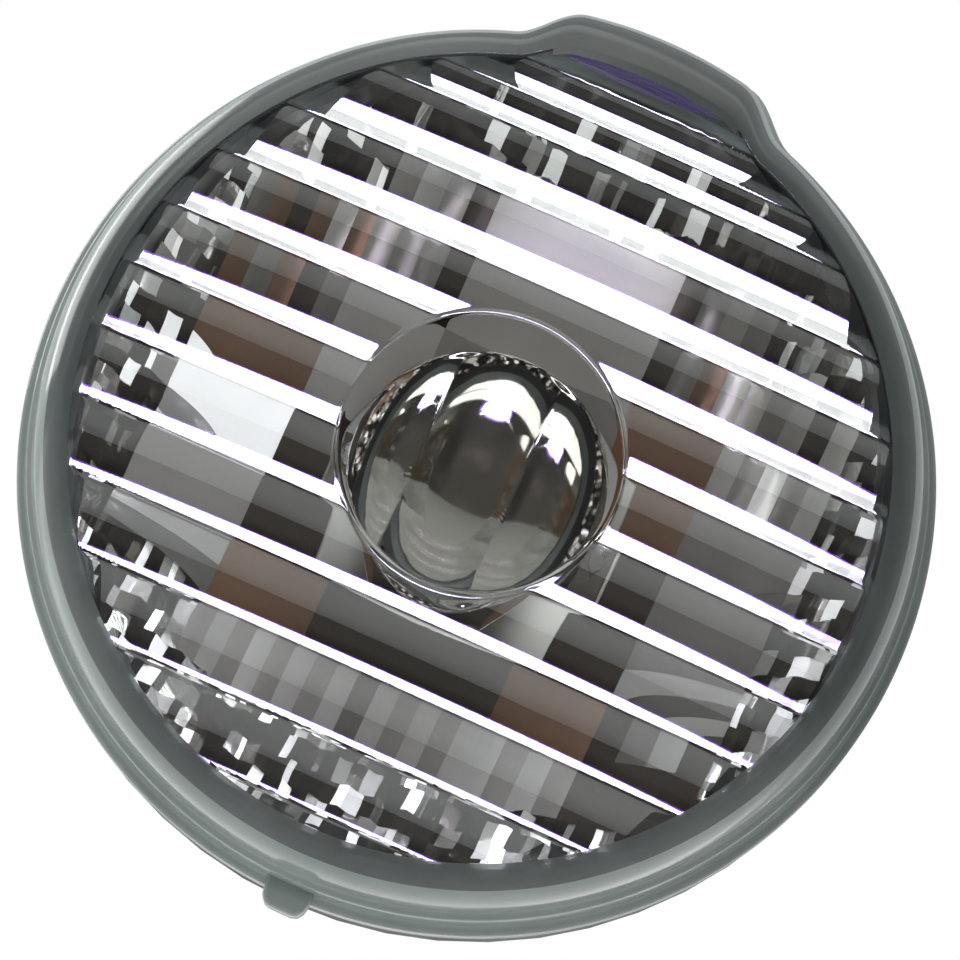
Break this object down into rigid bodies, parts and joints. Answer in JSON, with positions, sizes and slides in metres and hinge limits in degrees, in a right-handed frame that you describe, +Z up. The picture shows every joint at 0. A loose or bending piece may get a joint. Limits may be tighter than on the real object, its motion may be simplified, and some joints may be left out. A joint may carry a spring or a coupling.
{
  "type": "fog light",
  "caption": "Round automotive fog light with a clear fluted lens, chrome reflector and bulb shield, twist-out bulb, and a bracket with side pivots and a screw aim adjuster.",
  "frame": {"origin": "on the rear mounting face of the bracket, midway between its two bolt holes", "axes": "+Z up on the vehicle, the lamp shines along -Y and the bracket's rear face looks along +Y, +X along the tilt axis"},
  "size_m": [0.108, 0.067, 0.1133],
  "materials": {
    "lens_clear": "clear moulded lens, polished outside, fluted inside",
    "seal_rubber": "matt black sealing bead",
    "reflector_chrome": "vacuum-metallised, mirror bright, faceted",
    "shield_chrome": "bright plated, fluted",
    "zinc_steel": "zinc-plated steel",
    "housing_plastic": "black moulded plastic, fine grain",
    "vent_rubber": "soft black rubber",
    "bracket_plastic": "black glass-filled nylon",
    "white_nylon": "natural nylon",
    "grey_nylon": "light grey acetal",
    "bulb_plastic": "dark heat-resistant plastic",
    "o_ring_rubber": "brick-red silicone rubber",
    "collar_steel": "bright drawn steel",
    "bulb_glass": "clear hard glass",
    "filament_metal": "drawn wire",
    "terminal_brass": "tin-flashed brass blade"
  },
  "bodies": {
    "bracket": {"mounting_bracket": "bracket_plastic", "bracket_sleeve_left": "zinc_steel", "bracket_sleeve_right": "zinc_steel", "pivot_bush_left": "white_nylon", "pivot_bush_right": "white_nylon"},
    "lamp": {"lens": "lens_clear", "lens_seal": "seal_rubber", "reflector": "reflector_chrome", "bulb_shield": "shield_chrome", "shield_rivet_left": "zinc_steel", "shield_rivet_right": "zinc_steel", "housing": "housing_plastic", "vent_cap": "vent_rubber", "pivot_screw_left": "zinc_steel", "pivot_screw_right": "zinc_steel", "ball_socket": "grey_nylon"},
    "adjuster": {"adjuster_screw": "zinc_steel", "adjuster_clip": "zinc_steel"},
    "ball_nut": {"adjuster_ball_nut": "white_nylon"},
    "bulb": {"bulb_base": "bulb_plastic", "bulb_o_ring": "o_ring_rubber", "bulb_collar": "collar_steel", "bulb_glass": "bulb_glass", "bulb_filament": "filament_metal", "filament_lead_left": "filament_metal", "filament_lead_right": "filament_metal", "terminal_left": "terminal_brass", "terminal_right": "terminal_brass"}
  },
  "joints": [
    {"name": "lamp_tilt", "type": "hinge", "parent": "bracket", "child": "lamp", "pos_m": [0, -0.024, -0.049], "axis": [1, 0, 0], "range_deg": [-4, 4]},
    {"name": "adjuster_spin", "type": "hinge", "parent": "bracket", "child": "adjuster", "pos_m": [0, -0.015, -0.009], "axis": [0, 1, 0], "range_deg": [-671, 671]},
    {"name": "ball_nut_slide", "type": "slide", "parent": "bracket", "child": "ball_nut", "axis": [0, 1, 0], "range_m": [-0.0028, 0.0028]},
    {"name": "bulb_twist", "type": "hinge", "parent": "lamp", "child": "bulb", "pos_m": [0, -0.015, -0.049], "axis": [0, 1, 0], "range_deg": [0, 60]}
  ],
  "couplings": [
    {"joint": "adjuster_spin", "follows": "lamp_tilt", "ratio": 167.55},
    {"joint": "ball_nut_slide", "follows": "lamp_tilt", "m_per_rad": -0.04}
  ]
}
